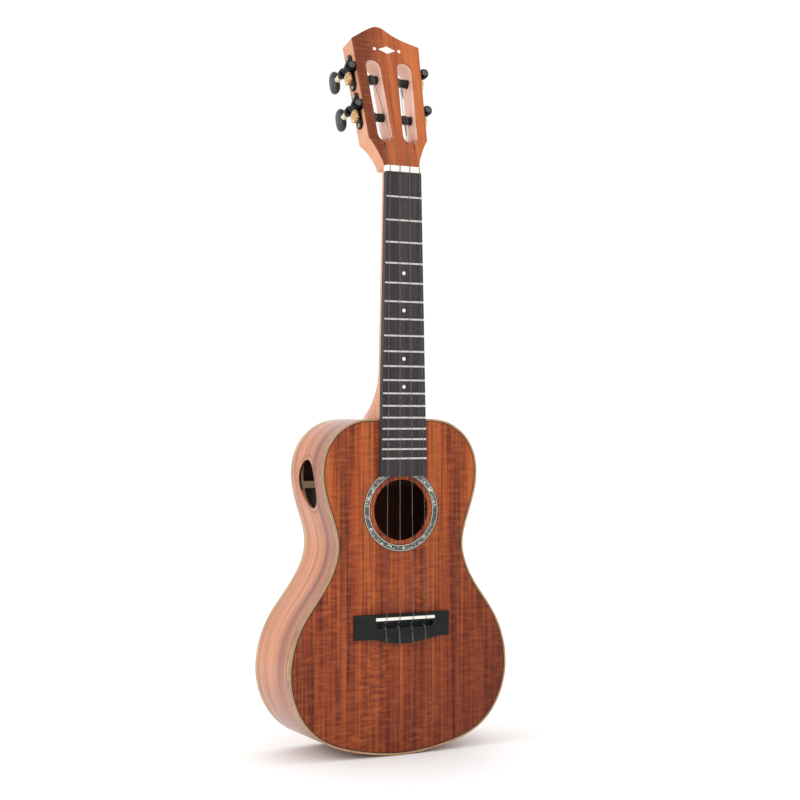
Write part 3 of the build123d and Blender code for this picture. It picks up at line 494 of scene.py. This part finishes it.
# Black roller whose outer end, beyond the side plate, is the gear's brass screw.
def rollerFinish():
    finish, tree, shader = newFinish("rollerPlastic", Specular_IOR_Level=0.3)
    here = place(tree)
    mottle = noise(tree, here, 700.0, 3.0)
    tone = spread(tree, mottle, 0.3, 0.7)
    beyond = sums(tree, "GREATER_THAN", sums(tree, "ABSOLUTE", axes(tree, here)["X"]),
                  roller["screwFrom"])
    colourTo(tree, shader, blendColour(tree, beyond, blendColour(tree, tone, *roller["black"]),
                                       blendColour(tree, tone, *roller["brass"])))
    tree.links.new(beyond, shader.inputs["Metallic"])
    roughTo(tree, shader, mottle, 0.24, 0.36)
    bump(tree, shader, mottle, 0.08, 0.02 * mm)
    return finish


# Clear nylon: grey and more than half see-through, with a faint drawn texture.
def stringFinish():
    finish, tree, shader = newFinish("clearNylon", Alpha=0.42, Specular_IOR_Level=0.2)
    drawn = grain(tree, place(tree), (2000, 2000, 60), 2.0)
    colourTo(tree, shader, blendColour(tree, drawn, (0.09, 0.088, 0.086), (0.20, 0.195, 0.19)))
    roughTo(tree, shader, drawn, 0.2, 0.32)
    return finish


metals = {  # colour, worn colour, roughness, how much is worn
    "fretMetal": ((0.66, 0.65, 0.62), (0.46, 0.45, 0.42), 0.26, 0.5),
    "gearBrass": ((0.86, 0.66, 0.38), (0.58, 0.36, 0.16), 0.30, 0.7),
    "blackSteel": ((0.016, 0.017, 0.019), (0.06, 0.06, 0.065), 0.30, 0.6),
    "wornSteel": ((0.10, 0.105, 0.108), (0.22, 0.225, 0.23), 0.34, 0.6),
    "screwSteel": ((0.34, 0.32, 0.28), (0.60, 0.54, 0.42), 0.30, 0.7),
}
plastics = {  # colour, tint, roughness, coat, specular
    "buttonPlastic": ((0.010, 0.011, 0.011), (0.026, 0.027, 0.028), 0.30, 0.3, 0.4),
    "bone": ((0.92, 0.89, 0.82), (0.84, 0.79, 0.70), 0.34, 0.2, 0.3),
    "ivoryCollar": ((0.80, 0.72, 0.52), (0.62, 0.52, 0.33), 0.34, 0.3, 0.4),
}
shells = {  # colours by noise value, cell size, roughness
    "pearl": (((0.0, (0.70, 0.68, 0.62)), (0.4, (0.86, 0.85, 0.80)), (0.7, (0.92, 0.90, 0.88)),
               (1.0, (0.82, 0.88, 0.86))), 2.2 * mm, 0.2),
    "abalone": (((0.0, (0.012, 0.017, 0.018)), (0.26, (0.035, 0.055, 0.050)),
                 (0.40, (0.11, 0.155, 0.135)), (0.47, (0.60, 0.64, 0.55)),
                 (0.55, (0.035, 0.055, 0.052)), (0.68, (0.10, 0.088, 0.088)),
                 (0.80, (0.74, 0.80, 0.70)), (1.0, (0.05, 0.10, 0.085))), 2.1 * mm, 0.25),
}
finishes = {"koaTop": koaFinish(), "frontEdging": edgingFinish(), "rollerPlastic": rollerFinish(),
            "clearNylon": stringFinish()}
for name in woods:
    finishes[name] = woodFinish(name)
for make, table in ((metalFinish, metals), (plasticFinish, plastics), (shellFinish, shells)):
    for name, values in table.items():
        finishes[name] = make(name, *values)
print("finishes ready:", len(finishes))

nodeFinish = {
    "soundboard": "koaTop", "bass_side": "sideWood", "treble_side": "sideWood",
    "back_plate": "backWood", "tail_wedge": "tailStrip", "front_binding": "frontEdging",
    "back_binding": "backBinding", "front_purfling": "darkLine", "rosette_lines": "darkLine",
    "rosette_abalone": "abalone", "port_ring": "paleLine", "neck": "neckWood",
    "neck_block": "neckWood", "tail_block": "neckWood", "neck_dowels": "neckWood",
    "head_veneer": "headWood", "head_inlay": "pearl", "position_markers": "pearl",
    "fretboard": "fretboardWood", "frets": "fretMetal", "bridge": "bridgeWood",
    "nut": "bone", "saddle": "bone", "plate_screws": "screwSteel",
}
startFinish = {
    "string_": "clearNylon", "winding_": "clearNylon", "tuner_plate": "blackSteel",
    "worm_shaft": "wornSteel", "gear_": "gearBrass", "roller_": "rollerPlastic",
    "button_": "buttonPlastic",
}
for name in nodes:
    for start, finish in startFinish.items():
        if name.startswith(start):
            nodeFinish[name] = finish
    if "brace" in name or "lining" in name or name == "bridge_plate":
        nodeFinish[name] = "braceWood"
for name, piece in nodes.items():
    piece.data.materials.clear()
    piece.data.materials.append(finishes[nodeFinish[name]])
print("CAD nodes dressed:", len(nodes))


def newPiece(name, points, finish, body):
    # A surface from a grid of points: rows along it, closed round its columns, with flat ends.
    rows, columns = points.shape[:2]
    index = np.arange(rows * columns).reshape(rows, columns)
    index = np.concatenate([index, index[:, :1]], axis=1)
    quads = np.stack([index[:-1, :-1], index[:-1, 1:], index[1:, 1:], index[1:, :-1]], axis=-1)
    faces = quads.reshape(-1, 4).tolist()
    faces += [index[0, :columns][::-1].tolist(), index[-1, :columns].tolist()]
    mesh = bpy.data.meshes.new(name)
    mesh.from_pydata(points.reshape(-1, 3).tolist(), [], faces)
    sorting = bmesh.new()
    sorting.from_mesh(mesh)
    bmesh.ops.remove_doubles(sorting, verts=sorting.verts, dist=1e-7)
    bmesh.ops.recalc_face_normals(sorting, faces=sorting.faces)
    sorting.to_mesh(mesh)
    sorting.free()
    mesh.materials.append(finishes[finish])
    mesh.shade_smooth()
    piece = bpy.data.objects.new(name, mesh)
    bpy.context.collection.objects.link(piece)
    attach(piece, body)
    return piece


def softPath(corners, step, rounding):
    # A line through the corners in equal steps, its bends rounded by a moving average.
    corners = np.array(corners, float)
    lengths = np.r_[0, np.cumsum(np.linalg.norm(np.diff(corners, axis=0), axis=1))]
    places = np.linspace(0, lengths[-1], int(lengths[-1] / step) + 2)
    path = np.stack([np.interp(places, lengths, corners[:, axis]) for axis in range(3)], axis=1)
    half = max(1, int(rounding / step / 2))
    weights = np.hanning(2 * half + 3)[1:-1]
    padded = np.pad(path, ((half, half), (0, 0)), mode="reflect", reflect_type="odd")
    return np.stack([np.convolve(padded[:, axis], weights / weights.sum(), "valid")
                     for axis in range(3)], axis=1)


def carried(path, radius, sides, guide):
    # A round profile carried along a path: each ring stands square to the path's direction.
    along = np.gradient(path, axis=0)
    along /= np.linalg.norm(along, axis=1, keepdims=True)
    across = np.cross(along, guide)
    across /= np.linalg.norm(across, axis=1, keepdims=True)
    third = np.cross(along, across)
    turn = np.linspace(0, 2 * np.pi, sides, endpoint=False)
    return (path[:, None] + radius * (np.cos(turn)[None, :, None] * across[:, None]
                                      + np.sin(turn)[None, :, None] * third[:, None]))


softening = {"merge": 2e-6, "flat": math.radians(0.4), "edge": math.radians(35)}


def softened(name, width):
    # A copy of a CAD node with its edges broken: doubles merged, flat faces joined, small bevel.
    mesh = nodes[name].data.copy()
    sorting = bmesh.new()
    sorting.from_mesh(mesh)
    bmesh.ops.remove_doubles(sorting, verts=sorting.verts, dist=softening["merge"])
    bmesh.ops.dissolve_limit(sorting, angle_limit=softening["flat"], verts=sorting.verts,
                             edges=sorting.edges)
    sorting.to_mesh(mesh)
    sorting.free()
    mesh.shade_smooth()
    piece = bpy.data.objects.new(name + "_soft", mesh)
    bpy.context.collection.objects.link(piece)
    broken = piece.modifiers.new("edges", "BEVEL")
    broken.width, broken.segments = width, 2
    broken.limit_method, broken.angle_limit = "ANGLE", softening["edge"]
    broken.harden_normals = True
    body = next(body for body, held in frame["record"]["behaviour"]["bodies"].items()
                if name in held)
    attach(piece, body)
    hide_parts(name)
    return piece


softEdges = {"bridge": 0.5 * mm, "saddle": 0.35 * mm, "nut": 0.3 * mm}
plateEdge = 0.3 * mm
softEdges.update({"tuner_plate_" + where: plateEdge for where in tuners})
for name, width in softEdges.items():
    softened(name, width)
print("edges broken on", len(softEdges), "pieces")

button = {
    "collarStart": 13.9 * mm,  # from the worm's middle, rearwards
    # each ring of a turned shape: its distance along the shaft and its radius, in millimetres
    "collarRings": ((0.0, 2.2), (-0.78, 2.75), (-1.56, 2.75), (-2.18, 2.15), (-4.16, 2.05), (-5.2, 2.6)),
    "capRings": ((-0.85, 3.3), (-0.75, 3.6), (0.05, 3.6), (0.3, 3.42), (0.32, 3.15), (0.12, 2.95)),
    "faceRings": ((0.0, 2.9), (0.14, 2.9), (0.2, 2.6), (0.25, 1.4)),
    "middle": 25.1 * mm, "depth": 12.4 * mm, "height": 20.8 * mm, "thickness": 8.4 * mm,
    "fullness": 0.78, "dish": 0.10,
}


# A plump oval knob: a ball whose round and rise are both raised to a power below one, which
# fills its corners out, with the two broad faces dished a little towards their middles.
def buttonPoints(centre):
    around = np.linspace(0, 2 * np.pi, 64, endpoint=False)[None, :]
    rise = np.linspace(-np.pi / 2, np.pi / 2, 41)[:, None]

    def power(value):
        return np.sign(value) * np.abs(value) ** button["fullness"]

    ring = power(np.cos(rise))
    wide, tall = power(np.cos(around)) * ring, power(np.sin(around)) * ring
    deep = power(np.sin(rise)) * np.ones_like(around)
    hollow = 1 - button["dish"] * np.exp(-3.0 * (tall ** 2 + deep ** 2))
    return (centre + (wide * hollow)[..., None] * np.array([button["thickness"] / 2, 0, 0])
            + tall[..., None] * upHead * button["height"] / 2
            - deep[..., None] * outOfHead * button["depth"] / 2)


# A turned shape: circles about the shaft whose radius follows the given rings.
def turnedPoints(rings, origin):
    places, radii = np.array(rings).T * mm
    along = np.linspace(0, 1, 30) * (len(rings) - 1)
    places = np.interp(along, np.arange(len(rings)), places)[:, None, None]
    radii = np.interp(along, np.arange(len(rings)), radii)[:, None, None]
    turn = np.linspace(0, 2 * np.pi, 36, endpoint=False)[None, :, None]
    return (origin + places * outOfHead
            + radii * (np.cos(turn) * np.array([1, 0, 0]) + np.sin(turn) * upHead))


for where in tuners:
    worm = np.array(joints["knob_" + where + "_turn"]["pos_m"])
    knob = newPiece("oval_button_" + where, buttonPoints(worm - button["middle"] * outOfHead),
                    "buttonPlastic", "knob_" + where)
    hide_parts("button_" + where)
    collar = newPiece("collar_" + where, turnedPoints(
        button["collarRings"], worm - button["collarStart"] * outOfHead),
        "ivoryCollar", "knob_" + where)
    shaft = np.empty(3 * len(nodes["worm_shaft_" + where].data.vertices))
    nodes["worm_shaft_" + where].data.vertices.foreach_get("co", shaft)
    front = worm + outOfHead * ((shaft.reshape(-1, 3) - worm) @ outOfHead).max()
    for part, finish in (("cap", "blackSteel"), ("face", "wornSteel")):
        turned = newPiece("shaft_" + part + "_" + where, turnedPoints(
            button[part + "Rings"], front), finish, "knob_" + where)
print("buttons, collars and caps made")

strings = {
    "radii": {"g": 0.33 * mm, "c": 0.42 * mm, "e": 0.37 * mm, "a": 0.30 * mm},
    "nutSpacing": 9.4 * mm, "saddleSpacing": 12.6 * mm, "nutHeight": 6.25 * mm,
    "nutBack": 5.2 * mm, "overSaddle": 0.15 * mm, "holeHeight": 3.9 * mm,
    "rollerRadius": 3.8 * mm, "turns": 4, "turnPoints": 160, "sides": 10, "sidestep": 1.2 * mm,
    "step": 0.3 * mm, "rounding": 1.2 * mm, "clear": 0.2 * mm, "knotDrop": 1.3 * mm,
    "knotReach": 0.8 * mm, "guide": (0.93, 0.21, 0.30),  # never along any part of a string
    "channelFront": 385.0 * mm, "channelWidth": 4.8 * mm, "belly": 4.0 * mm, "bellyHalf": 27 * mm,
}
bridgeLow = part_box("bridge")[0]
saddleLow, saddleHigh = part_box("saddle")
blockTop = -bridgeLow.y
blockFront = -(strings["channelFront"] + strings["channelWidth"])


# The string's route: off its roller, over the nut and saddle, through the tie block, back over
# it, round itself in front, and over the block again in a loose twist to a short free end.
def stringCorners(letter, start):
    radius = strings["radii"][letter]
    column = "gcea".index(letter) - 1.5
    nutX, saddleX = column * strings["nutSpacing"], column * strings["saddleSpacing"]
    nutY = -strings["nutHeight"] - radius
    saddleY = saddleLow.y - strings["overSaddle"] - radius
    hole, top = -strings["holeHeight"], -blockTop - radius
    bulge = strings["belly"] * (1 - (saddleX / strings["bellyHalf"]) ** 2)
    back = bridgeLow.z + strings["belly"] - bulge - strings["clear"] - radius
    front = blockFront + strings["clear"] + radius
    side, aside = strings["sidestep"], saddleX + 0.3 * mm
    dropped, ahead = top + strings["knotDrop"], front + strings["knotReach"]
    return [start, (nutX, nutY, strings["nutBack"]), (nutX, nutY, 0),
            (saddleX, saddleY, saddleHigh.z), (saddleX, saddleY, saddleLow.z),
            (saddleX, hole, front), (saddleX, hole, back), (aside, top, back),
            (aside, top, front), (aside, dropped, ahead), (saddleX - side, dropped, ahead),
            (saddleX - side, top - radius, front + 0.4 * mm),
            (saddleX + 0.1 * mm, top - 2 * radius, front - 1.6 * mm),
            (saddleX + side, top - radius, back + 1.8 * mm),
            (saddleX + side, top + 0.8 * mm, back - 0.1 * mm)]


for where, letter in tuners.items():
    low, high = (np.array(corner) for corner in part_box("winding_" + letter))
    middle, wide = (low + high) / 2, high[0] - low[0]
    axis = np.array(joints["string_post_" + where + "_turn"]["axis"])
    radius = strings["radii"][letter]
    reach = strings["rollerRadius"] + radius
    turn = np.linspace(0, 2 * np.pi * strings["turns"], strings["turnPoints"])[:, None]
    shift = np.linspace(-0.5, 0.5, strings["turnPoints"])[:, None] * (wide - 2 * radius)
    square = np.cross(axis, upHead)
    helix = middle + shift * axis + reach * (np.cos(turn) * upHead + np.sin(turn) * square)
    coil = newPiece("turns_" + letter, carried(helix, radius, strings["sides"], axis),
                    "clearNylon", "string_post_" + where)
    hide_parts("winding_" + letter)
    route = softPath(stringCorners(letter, middle + outOfHead * reach), strings["step"],
                     strings["rounding"])
    line = newPiece("nylon_" + letter, carried(route, radius, strings["sides"],
                                               np.array(strings["guide"])), "clearNylon", "root")
    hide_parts("string_" + letter)
print("strings and their turns made")

shot = {
    "from": (-0.6294, -1.2203, -0.2167),
    "towards": (0.4576, 0.8890, 0.0154),
    "lens": 71.87,
}
camera = bpy.data.objects.new("camera", bpy.data.cameras.new("camera"))
camera.data.lens = shot["lens"]
camera.location = shot["from"]
camera.rotation_mode = "QUATERNION"
camera.rotation_quaternion = Vector(shot["towards"]).to_track_quat("-Z", "Y")
bpy.context.collection.objects.link(camera)
bpy.context.scene.camera = camera

floorPlan = {"half": 20.0, "colour": (0.98, 0.98, 0.978),
             "worn": (0.99, 0.99, 0.989), "drop": 0.5 * mm}
low, high = cadBox
corners = [(x * floorPlan["half"], y * floorPlan["half"], low.z - floorPlan["drop"])
           for x, y in ((-1, -1), (1, -1), (1, 1), (-1, 1))]
floorMesh = bpy.data.meshes.new("floor")
floorMesh.from_pydata(corners, [], [(0, 1, 2, 3)])
floor = bpy.data.objects.new("floor", floorMesh)
bpy.context.collection.objects.link(floor)
floorFinish, floorTree, floorShader = newFinish("paleFloor", Roughness=0.9, Specular_IOR_Level=0.1)
floorShade = noise(floorTree, place(floorTree), 3.0, 2.0)
colourTo(floorTree, floorShader, blendColour(
    floorTree, floorShade, floorPlan["colour"], floorPlan["worn"]))
floorMesh.materials.append(floorFinish)

world = bpy.data.worlds.new("studio")
bpy.context.scene.world = world
world.use_nodes = True
world.node_tree.nodes["Background"].inputs["Color"].default_value = (1.0, 1.0, 1.0, 1)
world.node_tree.nodes["Background"].inputs["Strength"].default_value = 1.03
bpy.context.scene.view_settings.view_transform = "Standard"
lights = {  # place, aimed at, size, power
    "keyLight": ((-2.2, -0.35, 0.75), (0, 0.03, -0.2), 1.3, 16.0),
    "fillLight": ((-0.6, -2.2, 0.9), (0, 0, -0.15), 1.6, 6.0),
    "backLight": ((1.4, 1.8, 0.7), (0, 0, -0.1), 1.2, 7.0),
}
for name, (where, target, size, power) in lights.items():
    lamp = bpy.data.lights.new(name, "AREA")
    lamp.size, lamp.energy = size, power
    holder = bpy.data.objects.new(name, lamp)
    holder.location = where
    holder.rotation_mode = "QUATERNION"
    holder.rotation_quaternion = (Vector(target) - Vector(where)).to_track_quat("-Z", "Y")
    bpy.context.collection.objects.link(holder)
print("camera, floor and lights ready")
